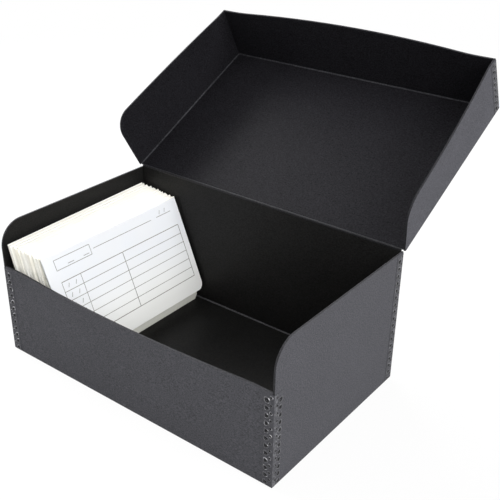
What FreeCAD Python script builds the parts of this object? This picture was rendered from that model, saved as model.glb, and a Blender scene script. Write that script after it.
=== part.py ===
"""Archival storage box with a hinged lid, metal edges and a set of filed envelopes.

Frame: millimetres, +Z up, origin at the centre of the tray's underside, +X to the right along the
box's length, -Y towards the low front wall and +Y towards the crease that the lid turns on.
"""
import FreeCAD, Part
import math
import os
from types import SimpleNamespace

import Sketcher

Vector = FreeCAD.Vector

# Driving dimensions, in millimetres and degrees
DIMENSIONS = {
    # tray
    "box_length": 292.0,          # outside, end wall to end wall
    "box_depth": 175.0,           # outside, front wall to back wall
    "box_height": 125.0,          # top of the end walls
    "front_height": 86.0,         # top of the low front wall
    "board": 1.5,                 # board thickness
    "fold_radius": 1.2,           # outside radius of a scored fold
    "bead_radius": 0.7,           # raised bead inside a scored fold
    "corner_seam": 0.3,           # open seam where two walls meet
    "end_corner_radius": 22.0,    # rounded top front corner of an end wall
    "tray_bow": 5.3,              # how far the front wall's rim bows out at mid-length
    # lid
    "lid_wall": 57.0,             # height of the lid's walls, outside
    "lid_clearance": 0.8,         # between the lid's walls and the tray
    "lid_seat": 0.7,              # between the closed lid's panel and the end walls
    "lid_corner_radius": 18.0,    # rounded rear corner of a lid side wall
    "lid_bow": 7.5,               # how far the lid's front rim bows out at mid-length
    "lid_flare_left": 6.0,        # how far the left wall's rim splays out at the crease
    "lid_flare_right": 11.0,
    "flare_sagitta": 1.6,         # fullness of a splayed rim
    "open_angle": 153.0,          # the lid's opening as it stands
    # crease that joins lid and tray
    "crease_radius": 1.0,
    "crease_clearance": 0.15,
    # metal edges
    "edge_leg": 9.5,              # width of one leg
    "edge_thickness": 0.3,        # of the strip, paint included
    "edge_bend": 0.5,             # outside radius of the strip's bend
    "edge_end_gap": 1.5,          # board left bare beyond each end of a strip
    "stiff_border": 12.0,         # flat board beside a metal edge
    "prong_pitch": 6.75,
    "prong_row": 6.3,             # outer row of prong holes, from the corner
    "prong_width": 3.0,
    "prong_height": 2.4,
    "inner_row": 2.6,             # inner row of small holes, half a pitch out of step
    "inner_size": 1.5,
    # envelopes
    "envelope_width": 166.0,
    "envelope_height": 106.4,
    "envelope_paper": 1.0,        # two panels with their seams
    "envelope_corner": 4.0,       # cut corner at the foot
    "flap_paper": 0.25,
    "flap_height": 95.0,
    "flap_corner": 7.0,           # rounded corner of a flap
    "fold_round": 0.45,           # rounding of an envelope's top fold
    "stack_side_gap": 1.6,        # right ends of the envelopes to the back wall
    "stack_stagger": 1.2,         # how far the envelopes' ends stand out of line
    "stack_seat": 0.3,            # envelopes to floor and to end wall
    "stack_spread": 43.0,         # foot of the last envelope to the foot of the first
    "rear_lean_angle": 14.6,
    "front_lean_angle": 15.6,
    "rear_yaw_angle": 0.2,        # rear envelopes stand a little askew,
    "rear_roll_angle": 1.1,       # their right ends a little high
    "rear_rise": 1.6,             # and their feet off the floor, held by the others
    "flap_splay_angle": 6.8,      # front envelope's flap, away from its body
    "flap_gap": 0.3,              # between that flap and its body's top
    "flap_fold": 0.2,             # radius of the paper rolled over in that flap's fold
}
ENVELOPES = 24
TOUCH = 1e-4                      # coordinates nearer than this are the same
BOW_SHARE = 0.14                  # share of a bow's half length that curves the other way
STAGGER_STEP = 137.5              # degrees from one envelope's stagger to the next


class Size:
    """A length or an angle: its value now, and the sheet expression that drives it."""

    def __init__(self, value, text):
        self.value = value
        self.text = text

    def __add__(self, other):
        other = as_size(other)
        return Size(self.value + other.value, f"({self.text} + {other.text})")

    def __sub__(self, other):
        other = as_size(other)
        return Size(self.value - other.value, f"({self.text} - {other.text})")

    def __rsub__(self, other):
        return as_size(other) - self

    def __mul__(self, other):
        other = as_size(other)
        return Size(self.value * other.value, f"({self.text} * {other.text})")

    def __truediv__(self, other):
        other = as_size(other)
        return Size(self.value / other.value, f"({self.text} / {other.text})")

    def __neg__(self):
        return Size(-self.value, f"(0 - {self.text})")

    __radd__ = __add__
    __rmul__ = __mul__


def as_size(value):
    """A plain number as a size."""
    return value if isinstance(value, Size) else Size(float(value), repr(float(value)))


def sine(angle):
    return Size(math.sin(math.radians(angle.value)), f"sin({angle.text})")


def cosine(angle):
    return Size(math.cos(math.radians(angle.value)), f"cos({angle.text})")


doc = FreeCAD.newDocument("archival_box")
sheet = doc.addObject("Spreadsheet::Sheet", "Dimensions")
for row, (alias, number) in enumerate(DIMENSIONS.items(), start=1):
    sheet.set(f"A{row}", alias)
    sheet.set(f"B{row}", str(number))
    sheet.setAlias(f"B{row}", alias)
doc.recompute()
dim = SimpleNamespace(**{alias: Size(number, "Dimensions." + alias) for alias, number in DIMENSIONS.items()})
subparts = []


def bind(thing, path, size):
    """Drives one property of an object from the sheet."""
    thing.setExpression(path, as_size(size).text)


# Sketching

def new_body(name, place=None):
    """A body with its label, and its placement driven by an expression where it has one."""
    body = doc.addObject("PartDesign::Body", name)
    body.Label = name
    if place:
        body.setExpression("Placement", place)
    subparts.append(body)
    return body


def origin_feature(body, role):
    return next(f for f in body.Origin.OriginFeatures if f.Role == role)


def new_sketch(body, name, plane, offset=0.0):
    """A sketch on one of the body's own origin planes, moved along its normal."""
    sketch = body.newObject("Sketcher::SketchObject", f"{body.Name}_{name}")
    sketch.AttachmentSupport = [(origin_feature(body, plane), "")]
    sketch.MapMode = "FlatFace"
    offset = as_size(offset)
    sketch.AttachmentOffset = FreeCAD.Placement(Vector(0, 0, offset.value), FreeCAD.Rotation())
    bind(sketch, "AttachmentOffset.Base.z", offset)
    return sketch


def fix_point(sketch, edge, position, x, y):
    """Places a point of the sketch by its two coordinates."""
    for kind, size in (("DistanceX", x), ("DistanceY", y)):
        index = sketch.addConstraint(Sketcher.Constraint(kind, -1, 1, edge, position, size.value))
        bind(sketch, f"Constraints[{index}]", size)


def set_radius(sketch, edge, radius):
    index = sketch.addConstraint(Sketcher.Constraint("Radius", edge, radius.value))
    bind(sketch, f"Constraints[{index}]", radius)


def draw_arc(start, end, radius, side):
    """An arc under a half circle, with its centre to the left (1) or right (-1) of the way."""
    way = end - start
    reach = math.sqrt(radius * radius - way.Length * way.Length / 4)
    normal = Vector(-way.y, way.x, 0).normalize()
    centre = (start + end) * 0.5 + normal * (side * reach)
    first, last = (start, end) if side > 0 else (end, start)
    angles = [math.atan2(p.y - centre.y, p.x - centre.x) for p in (first, last)]
    if angles[1] < angles[0]:
        angles[1] += 2 * math.pi
    return Part.ArcOfCircle(Part.Circle(centre, Vector(0, 0, 1), radius), *angles)


def draw_outline(sketch, corners, arcs=None):
    """A closed outline through its corners. arcs gives (radius, side) for the edge after a corner."""
    arcs = arcs or {}
    corners = [(as_size(x), as_size(y)) for x, y in corners]
    points = [Vector(x.value, y.value, 0) for x, y in corners]
    ends = []
    for i, start in enumerate(points):
        end = points[(i + 1) % len(points)]
        if i in arcs:
            radius, side = arcs[i]
            edge = sketch.addGeometry(draw_arc(start, end, radius.value, side), False)
            ends.append((edge, 1, 2) if side > 0 else (edge, 2, 1))
            set_radius(sketch, edge, radius)
        else:
            edge = sketch.addGeometry(Part.LineSegment(start, end), False)
            ends.append((edge, 1, 2))
    for i, (edge, first, last) in enumerate(ends):
        following = ends[(i + 1) % len(ends)]
        sketch.addConstraint(Sketcher.Constraint("Coincident", edge, last, following[0], following[1]))
        fix_point(sketch, edge, first, *corners[i])


def draw_rectangle(sketch, x0, y0, x1, y1):
    draw_outline(sketch, [(x0, y0), (x1, y0), (x1, y1), (x0, y1)])


def draw_circle(sketch, x, y, radius):
    x, y = as_size(x), as_size(y)
    circle = Part.Circle(Vector(x.value, y.value, 0), Vector(0, 0, 1), radius.value)
    edge = sketch.addGeometry(circle, False)
    fix_point(sketch, edge, 3, x, y)
    set_radius(sketch, edge, radius)


def draw_band(sketch, path, arcs, across):
    """A strip of board seen from its edge: a path, and the same path moved across the board."""
    count = len(path)
    far = [(x + across[0], y + across[1]) for x, y in reversed(path)]
    far_arcs = {2 * count - 2 - i: (radius, -side) for i, (radius, side) in arcs.items()}
    draw_outline(sketch, path + far, {**arcs, **far_arcs})


# Features

def pad(body, name, sketch, length, reverse=False, middle=False):
    feature = body.newObject("PartDesign::Pad", f"{body.Name}_{name}")
    feature.Profile = sketch
    feature.Reversed = reverse
    feature.Midplane = middle
    bind(feature, "Length", length)
    return feature


def pocket(body, name, sketch, length, reverse=False, middle=False):
    feature = body.newObject("PartDesign::Pocket", f"{body.Name}_{name}")
    feature.Profile = sketch
    feature.Reversed = reverse
    feature.Midplane = middle
    bind(feature, "Length", length)
    return feature


def loft(body, name, fold, rim):
    """A wall ruled from its straight fold to its rim."""
    feature = body.newObject("PartDesign::AdditiveLoft", f"{body.Name}_{name}")
    feature.Profile = fold
    feature.Sections = [rim]
    feature.Ruled = True
    return feature


def fillet(body, name, radius, chosen):
    """Rounds the edges of the body so far that the given test picks."""
    doc.recompute()
    base = body.Tip
    edges = [f"Edge{i}" for i, edge in enumerate(base.Shape.Edges, start=1) if chosen(edge)]
    if not edges:
        raise RuntimeError(f"{body.Name}: no edge to round for {name}")
    feature = body.newObject("PartDesign::Fillet", f"{body.Name}_{name}")
    feature.Base = (base, edges)
    bind(feature, "Radius", radius)
    return feature


def check_cut(body, feature):
    """Stops if a cut took nothing away."""
    doc.recompute()
    if feature.Shape.Volume >= feature.BaseFeature.Shape.Volume - 1e-3:
        raise RuntimeError(f"{body.Name}: {feature.Name} cuts nothing")


def lies_at(edge, axis, level):
    """Whether both ends of an edge have the given coordinate."""
    return all(abs(getattr(v.Point, axis) - level) < TOUCH for v in edge.Vertexes)


# Places that several pieces share

half_length = dim.box_length / 2
half_depth = dim.box_depth / 2
crease_y = half_depth - dim.board / 2
crease_z = dim.box_height + dim.lid_seat + dim.board / 2
lid_half_length = half_length + dim.lid_clearance + dim.board
lid_depth = crease_y + half_depth + dim.lid_clearance + dim.board
lid_top = dim.board / 2
lid_under = -dim.board / 2
lid_rim = lid_top - dim.lid_wall
lid_rear = dim.board / 2
LID_PLACE = (
    f"placement(vector(0; {crease_y.text}; {crease_z.text});"
    f" rotation(vector(-1; 0; 0); {dim.open_angle.text}))"
)


def bowed_path(half, y, bow):
    """A front wall's outer face seen from above, from left to right: flat beside the metal edges,
    then bowed out on three tangent arcs. With no bow it has the same corners on a straight line."""
    span = half - dim.stiff_border
    inner = span * (1 - BOW_SHARE)
    if bow is None:
        return [(-half, y), (-span, y), (-inner, y), (inner, y), (span, y), (half, y)], {}
    out = y - bow * BOW_SHARE
    path = [(-half, y), (-span, y), (-inner, out), (inner, out), (span, y), (half, y)]
    reach = (span * span + bow * bow) / (bow * 2)
    ease = (reach * BOW_SHARE, -1)
    return path, {1: ease, 2: (reach * (1 - BOW_SHARE), 1), 3: ease}


def front_wall(body, half, y, low, high, bow, bow_at_low):
    """A wall ruled between a straight fold and a bowed rim, both given as levels."""
    levels = ((low, bow if bow_at_low else None), (high, None if bow_at_low else bow))
    sketches = []
    for name, (level, lean) in zip(("low", "high"), levels):
        sketch = new_sketch(body, f"front_{name}", "XY_Plane", level)
        path, arcs = bowed_path(half, y, lean)
        draw_band(sketch, path, arcs, (0, dim.board))
        sketches.append(sketch)
    return loft(body, "front_wall", *sketches)


def fold_beads(body, name, plane, places, level, length, offset=0.0, middle=True):
    """The raised beads that scoring leaves inside a pair of folds."""
    for i, place in enumerate(places):
        sketch = new_sketch(body, f"{name}_bead_{i}", plane, offset)
        draw_circle(sketch, place, level, dim.bead_radius)
        pad(body, f"{name}_beads_{i}", sketch, length, middle=middle)


# Tray board: bottom, end walls, bowed front wall, back wall with the crease, beads, rounded folds

def build_tray():
    body = new_body("tray_board")
    inner_length = half_length - dim.board - dim.corner_seam
    inner_depth = half_depth - dim.board - dim.corner_seam

    sketch = new_sketch(body, "bottom", "XY_Plane")
    draw_rectangle(sketch, -half_length, -half_depth, half_length, half_depth)
    pad(body, "bottom_panel", sketch, dim.board)

    radius = dim.end_corner_radius
    for side, sign in (("left", -1), ("right", 1)):
        sketch = new_sketch(body, f"{side}_end", "YZ_Plane", half_length * sign)
        draw_outline(sketch, [
            (-half_depth, 0), (half_depth, 0), (half_depth, dim.box_height),
            (radius - half_depth, dim.box_height), (-half_depth, dim.box_height - radius),
        ], {3: (radius, 1)})
        pad(body, f"{side}_end_wall", sketch, dim.board, reverse=sign > 0)

    front_wall(body, inner_length, -half_depth, dim.board, dim.front_height, dim.tray_bow, False)

    sketch = new_sketch(body, "back", "XY_Plane")
    draw_rectangle(sketch, -inner_length, half_depth - dim.board, inner_length, half_depth)
    pad(body, "back_wall", sketch, crease_z)
    sketch = new_sketch(body, "crease", "YZ_Plane")
    draw_circle(sketch, crease_y, crease_z, dim.crease_radius)
    pad(body, "crease_bead", sketch, inner_length * 2, middle=True)

    fold_beads(body, "long", "YZ_Plane", (dim.board - half_depth, half_depth - dim.board),
               dim.board, inner_length * 2)
    fold_beads(body, "end", "XZ_Plane", (dim.board - half_length, half_length - dim.board),
               dim.board, inner_depth * 2)

    def is_fold(edge):
        box = edge.BoundBox
        outer = abs(box.XMin) > inner_length.value or box.YLength < TOUCH
        return lies_at(edge, "z", 0.0) and outer

    fillet(body, "rounded_folds", dim.fold_radius, is_fold)


# Lid board, drawn closed about the crease's axis and then opened by its placement

def build_lid():
    body = new_body("lid_board", LID_PLACE)
    inner_length = lid_half_length - dim.board - dim.corner_seam

    sketch = new_sketch(body, "top", "XY_Plane", lid_under)
    draw_rectangle(sketch, -lid_half_length, -lid_depth, lid_half_length, lid_under)
    pad(body, "top_panel", sketch, dim.board)
    sketch = new_sketch(body, "crease", "YZ_Plane")
    draw_circle(sketch, 0, 0, dim.crease_radius + dim.crease_clearance)
    groove = pocket(body, "crease_groove", sketch, lid_half_length * 3, middle=True)
    check_cut(body, groove)

    front_wall(body, inner_length, -lid_depth, lid_rim, lid_under, dim.lid_bow, True)

    border = dim.stiff_border - lid_depth
    run = lid_rear - border
    for side, sign, flare in (("left", -1, dim.lid_flare_left), ("right", 1, dim.lid_flare_right)):
        face = lid_half_length * sign
        chord = flare * flare + run * run
        radius = chord / (dim.flare_sagitta * 8) + dim.flare_sagitta / 2
        sketches = []
        for level, splay in (("rim", flare), ("fold", None)):
            sketch = new_sketch(body, f"{side}_{level}", "XY_Plane", lid_rim if splay else lid_under)
            rear = face + splay * sign if splay else face
            path = [(face, -lid_depth), (face, border), (rear, lid_rear)]
            draw_band(sketch, path, {1: (radius, sign)} if splay else {}, (dim.board * -sign, 0))
            sketches.append(sketch)
        loft(body, f"{side}_wall", *sketches)

    radius = dim.lid_corner_radius
    sketch = new_sketch(body, "rear_corner", "YZ_Plane")
    beyond_y, beyond_z = lid_rear + dim.board, lid_rim - dim.board
    draw_outline(sketch, [
        (beyond_y, lid_rim + radius), (lid_rear, lid_rim + radius), (lid_rear - radius, lid_rim),
        (lid_rear - radius, beyond_z), (beyond_y, beyond_z),
    ], {1: (radius, -1)})
    corners = pocket(body, "rear_corners", sketch, lid_half_length * 3, middle=True)
    check_cut(body, corners)

    fold_beads(body, "front", "YZ_Plane", (dim.board - lid_depth,), lid_under, inner_length * 2)
    bead_start = dim.crease_radius * 2
    fold_beads(body, "side", "XZ_Plane", (dim.board - lid_half_length, lid_half_length - dim.board),
               lid_under, lid_depth - dim.board - dim.corner_seam - bead_start,
               offset=bead_start, middle=False)

    def is_fold(edge):
        box = edge.BoundBox
        front = box.YLength < TOUCH and abs(box.YMin + lid_depth.value) < TOUCH
        side = box.XLength < TOUCH and abs(abs(box.XMin) - lid_half_length.value) < TOUCH
        return lies_at(edge, "z", lid_top.value) and (front or side)

    fillet(body, "rounded_folds", dim.fold_radius, is_fold)


# Metal edges: an L strip down a corner, punched with two rows of prong holes on each leg

def build_edge(name, x, y, sign_x, sign_y, low, high, place=None):
    """A strip on the corner whose board faces lie at x and y, from level low to level high."""
    body = new_body(name, place)
    metal, leg, bend = dim.edge_thickness, dim.edge_leg, dim.edge_bend
    out_x, out_y = x + metal * sign_x, y + metal * sign_y
    sketch = new_sketch(body, "section", "XY_Plane", low)
    draw_outline(sketch, [
        (x, y), (x - leg * sign_x, y), (x - leg * sign_x, out_y), (out_x - bend * sign_x, out_y),
        (out_x, out_y - bend * sign_y), (out_x, y - leg * sign_y), (x, y - leg * sign_y),
    ], {3: (bend, 1 if sign_x * sign_y < 0 else -1)})
    strip = pad(body, "strip", sketch, high - low)
    strip_length = high - low
    count = int((strip_length.value - dim.prong_pitch.value * 0.6) / dim.prong_pitch.value) + 1
    first = low + (strip_length - dim.prong_pitch * (count - 1)) / 2 - dim.prong_pitch / 4

    cuts = []
    legs = (("front_leg", "XZ_Plane", x, sign_x, -out_y, sign_y > 0),
            ("side_leg", "YZ_Plane", y, sign_y, out_x, sign_x < 0))
    for leg_name, plane, corner, sign, offset, reverse in legs:
        row = corner - dim.prong_row * sign
        inner = corner - dim.inner_row * sign
        half_width, half_height = dim.prong_width / 2, dim.prong_height / 2
        small = dim.inner_size / 2
        step = first + dim.prong_pitch / 2
        sketch = new_sketch(body, f"{leg_name}_prongs", plane, offset)
        draw_outline(sketch, [
            (row - half_width * sign, first), (row + half_width * sign, first - half_height),
            (row + half_width * sign, first + half_height),
        ])
        draw_outline(sketch, [
            (inner + small * sign, step), (inner - small * sign, step + small),
            (inner - small * sign, step - small),
        ])
        cut = pocket(body, f"{leg_name}_holes", sketch, metal, reverse)
        check_cut(body, cut)
        cuts.append(cut)

    pattern = body.newObject("PartDesign::LinearPattern", f"{name}_pattern")
    pattern.Originals = cuts
    pattern.Direction = (origin_feature(body, "Z_Axis"), [""])
    pattern.Occurrences = count
    bind(pattern, "Length", dim.prong_pitch * (count - 1))
    body.Tip = pattern
    doc.recompute()
    removed = strip.Shape.Volume - pattern.Shape.Volume
    print(f"{name}: {count} holes a row, {removed:.1f} mm3 punched out")


# Envelopes: the body panel, the flap folded down on it, and the rounded top fold

def envelope_outline(sketch, width, low, high, corner, rounded):
    """A sheet's outline with its two lower corners cut or rounded."""
    arcs = {5: (corner, 1), 1: (corner, 1)} if rounded else {}
    draw_outline(sketch, [
        (corner, low), (width - corner, low), (width, low + corner),
        (width, high), (0, high), (0, low + corner),
    ], arcs)


def envelope_place(index):
    """Where an envelope stands: its lower rear left corner, and its lean, turn and roll."""
    share = index / (ENVELOPES - 1)
    lean = dim.rear_lean_angle + (dim.front_lean_angle - dim.rear_lean_angle) * share
    yaw = dim.rear_yaw_angle * (1 - share)
    roll = dim.rear_roll_angle * (1 - share)
    tallest = dim.envelope_width * sine(dim.rear_roll_angle) + dim.envelope_height
    foot = dim.board - half_length + dim.stack_seat + tallest * sine(dim.rear_lean_angle)
    x = foot + dim.stack_spread * share + dim.envelope_width * sine(yaw)
    stagger = dim.stack_stagger * math.sin(math.radians(STAGGER_STEP * index))
    y = half_depth - dim.board - dim.stack_side_gap - dim.envelope_width + stagger
    z = dim.board + dim.stack_seat + dim.rear_rise * (1 - share)
    return x, y, z, lean, yaw, roll


def build_envelope(index):
    name = f"envelope_{index + 1:02d}"
    x, y, z, lean, yaw, roll = envelope_place(index)
    body = new_body(name, (
        f"placement(vector({x.text}; {y.text}; {z.text}); rotation(vector(0; 0; 1); {yaw.text})"
        f" * rotation(vector(0; 1; 0); -1 * {lean.text}) * rotation(vector(1; 0; 0); {roll.text}))"
    ))
    top = dim.envelope_height
    loose_flap = index == ENVELOPES - 1
    sketch = new_sketch(body, "panel", "YZ_Plane")
    envelope_outline(sketch, dim.envelope_width, as_size(0), top, dim.envelope_corner, False)
    pad(body, "panel", sketch, dim.envelope_paper)
    thick = dim.envelope_paper.value
    if not loose_flap:
        sketch = new_sketch(body, "flap", "YZ_Plane", dim.envelope_paper)
        envelope_outline(sketch, dim.envelope_width, top - dim.flap_height, top, dim.flap_corner, True)
        pad(body, "flap", sketch, dim.flap_paper)
        thick += dim.flap_paper.value

    def is_top(edge):
        level = lies_at(edge, "z", top.value)
        return level and (lies_at(edge, "x", 0.0) or lies_at(edge, "x", thick))

    fillet(body, "top_fold", dim.fold_round, is_top)


def build_loose_flap():
    """The front envelope's flap, hung in front of its body from the top fold."""
    x, y, z, lean, _, _ = envelope_place(ENVELOPES - 1)
    out = dim.envelope_paper + dim.flap_gap + dim.flap_paper / 2
    up = dim.envelope_height - dim.flap_paper / 2
    hinge_x = x + out * cosine(lean) - up * sine(lean)
    hinge_z = z + out * sine(lean) + up * cosine(lean)
    body = new_body(f"envelope_{ENVELOPES}_flap", (
        f"placement(vector({hinge_x.text}; {y.text}; {hinge_z.text});"
        f" rotation(vector(0; 1; 0); -1 * ({lean.text} + {dim.flap_splay_angle.text})))"
    ))
    sketch = new_sketch(body, "flap", "YZ_Plane", -dim.flap_paper / 2)
    envelope_outline(sketch, dim.envelope_width, -dim.flap_height, dim.flap_paper / 2,
                     dim.flap_corner, True)
    pad(body, "flap", sketch, dim.flap_paper)
    sketch = new_sketch(body, "fold", "XZ_Plane")
    draw_circle(sketch, 0, 0, dim.flap_fold)
    pad(body, "fold_roll", sketch, dim.envelope_width, reverse=True)
    print(f"flap hinge at x {hinge_x.value:.3f}, z {hinge_z.value:.3f}")


build_tray()
build_lid()
gap = dim.edge_end_gap
for name, sign_x, sign_y, height in (
        ("front_left", -1, -1, dim.front_height), ("front_right", 1, -1, dim.front_height),
        ("back_left", -1, 1, dim.box_height), ("back_right", 1, 1, dim.box_height)):
    build_edge(f"tray_edge_{name}", half_length * sign_x, half_depth * sign_y, sign_x, sign_y,
               gap, height - gap)
for name, sign_x in (("left", -1), ("right", 1)):
    build_edge(f"lid_edge_{name}", lid_half_length * sign_x, -lid_depth, sign_x, -1,
               lid_rim + gap, lid_top - gap, LID_PLACE)
for number in range(ENVELOPES):
    build_envelope(number)
build_loose_flap()

# Check every object, then write one STEP file for each piece
doc.recompute()
for thing in doc.Objects:
    if "Invalid" in thing.State or "Error" in thing.State:
        raise RuntimeError(f"{thing.Name} failed: {thing.State}")
os.makedirs("parts", exist_ok=True)
for body in subparts:
    shape = body.Shape
    if shape.isNull() or not shape.isValid() or len(shape.Solids) != 1:
        raise RuntimeError(f"{body.Label} is not one valid solid")
    shape.exportStep(f"parts/{body.Label}.step")
print(f"{len(subparts)} pieces written")
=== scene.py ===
"""Dresses the archival storage box: charcoal board, punched metal edges and filed envelopes.

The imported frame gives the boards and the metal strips, which keep their shapes and get their
finishes here. The envelopes' plain solids are replaced by folded sheets of paper. Lengths in the
classes are in millimetres, and every mesh is written in metres in the frame's own axes.
"""
import logging
import math
from dataclasses import dataclass, field
from enum import Enum
from typing import Any

import bpy
import numpy as np
from mathutils import Matrix, Vector


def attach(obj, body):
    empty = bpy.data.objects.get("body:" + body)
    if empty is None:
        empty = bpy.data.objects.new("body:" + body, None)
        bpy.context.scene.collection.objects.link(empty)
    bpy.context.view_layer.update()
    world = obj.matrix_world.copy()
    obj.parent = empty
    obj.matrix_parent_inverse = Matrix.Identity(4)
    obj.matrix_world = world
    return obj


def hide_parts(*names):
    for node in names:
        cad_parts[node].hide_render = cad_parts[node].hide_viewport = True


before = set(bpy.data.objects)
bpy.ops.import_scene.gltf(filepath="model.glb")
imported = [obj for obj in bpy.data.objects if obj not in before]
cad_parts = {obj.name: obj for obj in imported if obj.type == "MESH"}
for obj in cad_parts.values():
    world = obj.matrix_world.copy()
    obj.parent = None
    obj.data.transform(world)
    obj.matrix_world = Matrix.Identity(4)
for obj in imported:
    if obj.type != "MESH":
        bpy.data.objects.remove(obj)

LOG = logging.getLogger("archival_box")
MM = 0.001
Colour = tuple[float, float, float]


class End(Enum):
    """The two ends of the box's length."""

    LEFT = -1
    RIGHT = 1


class Row(Enum):
    """The two rows of prongs on a leg of a metal edge."""

    OUTER = "outer"
    INNER = "inner"


class Layer(Enum):
    """How far an envelope is made: with its own flap, or with the flap as a piece of its own."""

    WHOLE = "whole"
    POCKET = "pocket"


# Shader building


class Value:
    """A number in a node tree: arithmetic on it adds Math nodes to that tree."""

    def __init__(self, nodes: "Nodes", socket: Any) -> None:
        """Wraps a node's output socket."""
        self.nodes = nodes
        self.socket = socket

    def _math(self, operation: str, first: Any, second: Any = 0.0, third: Any = 0.0) -> "Value":
        """Adds one Math node and returns its result."""
        return self.nodes.output("ShaderNodeMath", "Value", {"operation": operation},
                                 {0: first, 1: second, 2: third})

    def __add__(self, other: Any) -> "Value":
        """Sum."""
        return self._math("ADD", self, other)

    def __sub__(self, other: Any) -> "Value":
        """Difference."""
        return self._math("SUBTRACT", self, other)

    def __rsub__(self, other: Any) -> "Value":
        """Difference with a plain number first."""
        return self._math("SUBTRACT", other, self)

    def __mul__(self, other: Any) -> "Value":
        """Product."""
        return self._math("MULTIPLY", self, other)

    def __truediv__(self, other: Any) -> "Value":
        """Quotient."""
        return self._math("DIVIDE", self, other)

    __radd__ = __add__
    __rmul__ = __mul__

    def __abs__(self) -> "Value":
        """Size without sign."""
        return self._math("ABSOLUTE", self)

    def above(self, limit: float) -> "Value":
        """1 where the value is over the limit, else 0."""
        return self._math("GREATER_THAN", self, limit)

    def below(self, limit: float) -> "Value":
        """1 where the value is under the limit, else 0."""
        return self._math("LESS_THAN", self, limit)

    def most(self, other: Any) -> "Value":
        """The larger of two values."""
        return self._math("MAXIMUM", self, other)

    def least(self, other: Any) -> "Value":
        """The smaller of two values."""
        return self._math("MINIMUM", self, other)

    def root(self) -> "Value":
        """Square root."""
        return self._math("SQRT", self)

    def ramp(self, start: float, end: float, low: float = 0.0, high: float = 1.0) -> "Value":
        """Goes smoothly from low at start to high at end, and is level beyond them."""
        return self.nodes.output(
            "ShaderNodeMapRange", "Result", {"interpolation_type": "SMOOTHSTEP", "clamp": True},
            {"Value": self, "From Min": start, "From Max": end, "To Min": low, "To Max": high})


class Nodes:
    """A node tree under construction."""

    def __init__(self, tree: bpy.types.NodeTree) -> None:
        """Empties the tree."""
        self.tree = tree
        self.tree.nodes.clear()

    def fill(self, node: Any, inputs: dict[Any, Any]) -> None:
        """Sets or links a node's sockets.

        Args:
            node: The node.
            inputs: A number, colour, Value or output socket for each named or numbered input.
        """
        for key, value in inputs.items():
            socket = node.inputs[key]
            if isinstance(value, Value):
                self.tree.links.new(value.socket, socket)
            elif isinstance(value, bpy.types.NodeSocket):
                self.tree.links.new(value, socket)
            elif isinstance(value, tuple) and socket.type == "RGBA":
                socket.default_value = (*value, 1.0)
            else:
                socket.default_value = value

    def add(self, kind: str, settings: dict[str, Any] | None = None,
            inputs: dict[Any, Any] | None = None) -> Any:
        """Adds a node.

        Args:
            kind: The node's type.
            settings: Its properties, set before the sockets.
            inputs: A number, colour, Value or output socket for each named or numbered input.

        Returns:
            The node.
        """
        node = self.tree.nodes.new(kind)
        for name, value in (settings or {}).items():
            setattr(node, name, value)
        self.fill(node, inputs or {})
        return node

    def output(self, kind: str, name: str, settings: dict[str, Any] | None = None,
               inputs: dict[Any, Any] | None = None) -> Value:
        """Adds a node and gives its named output as a Value."""
        return Value(self, self.add(kind, settings, inputs).outputs[name])


class Shader(Nodes):
    """A material under construction, with one Principled surface."""

    def __init__(self, name: str) -> None:
        """Starts an empty material with its surface and output."""
        self.material = bpy.data.materials.new(name)
        self.material.use_nodes = True
        super().__init__(self.material.node_tree)
        self.surface = self.add("ShaderNodeBsdfPrincipled")
        self.add("ShaderNodeOutputMaterial", {}, {"Surface": self.surface.outputs[0]})

    def place(self) -> Any:
        """The piece's own coordinates, in metres."""
        return self.add("ShaderNodeTexCoord").outputs["Object"]

    def facing(self) -> Any:
        """The surface's own outward direction."""
        return self.add("ShaderNodeTexCoord").outputs["Normal"]

    def along(self, vector: Any, axis: tuple[float, float, float]) -> Value:
        """How far a vector reaches along an axis."""
        return self.output("ShaderNodeVectorMath", "Value", {"operation": "DOT_PRODUCT"},
                           {0: vector, 1: axis})

    def noise(self, vector: Any, scale: float, detail: float = 2.0, roughness: float = 0.5) -> Value:
        """Soft random mottling around one half, with its patches 1/scale metres across."""
        return self.output(
            "ShaderNodeTexNoise", "Fac", {"noise_dimensions": "3D"},
            {"Vector": vector, "Scale": scale, "Detail": detail, "Roughness": roughness})

    def stretched(self, vector: Any, scale: tuple[float, float, float]) -> Any:
        """The coordinates with each axis scaled, for fibres that run one way."""
        return self.add("ShaderNodeMapping", {}, {"Vector": vector, "Scale": scale}).outputs[0]

    def mix(self, factor: Value | float, first: Any, second: Any, blend: str = "MIX") -> Any:
        """A colour between two others."""
        node = self.add("ShaderNodeMix", {"data_type": "RGBA", "blend_type": blend},
                        {0: factor, 6: first, 7: second})
        return node.outputs[2]

    def toned(self, colour: Any, tone: Value) -> Any:
        """A colour made lighter or darker by a value around 1."""
        grey = self.add("ShaderNodeCombineColor", {}, {0: tone, 1: tone, 2: tone}).outputs[0]
        return self.mix(1.0, colour, grey, "MULTIPLY")

    def bump(self, height: Value, distance: float, strength: float = 1.0) -> Any:
        """A surface direction tilted by a height."""
        return self.add("ShaderNodeBump", {},
                        {"Height": height, "Distance": distance, "Strength": strength}).outputs[0]

    def finish(self, **sockets: Any) -> bpy.types.Material:
        """Sets the surface's sockets, given with underscores for spaces, and returns the material."""
        self.fill(self.surface, {name.replace("_", " "): value for name, value in sockets.items()})
        return self.material


# Turning and placing points


def turn(axis: str, degrees: float) -> np.ndarray:
    """The 3 by 3 matrix of a right-hand turn about a frame axis."""
    return np.array(Matrix.Rotation(math.radians(degrees), 3, axis))


@dataclass(frozen=True)
class Pose:
    """Where a piece's own axes lie in the frame: a turn, then a shift in millimetres."""

    rotation: np.ndarray
    origin: tuple[float, float, float]

    def apply(self, points: np.ndarray) -> np.ndarray:
        """Takes points in millimetres in the piece's axes to metres in the frame."""
        return (points @ self.rotation.T + np.array(self.origin)) * MM


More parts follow.
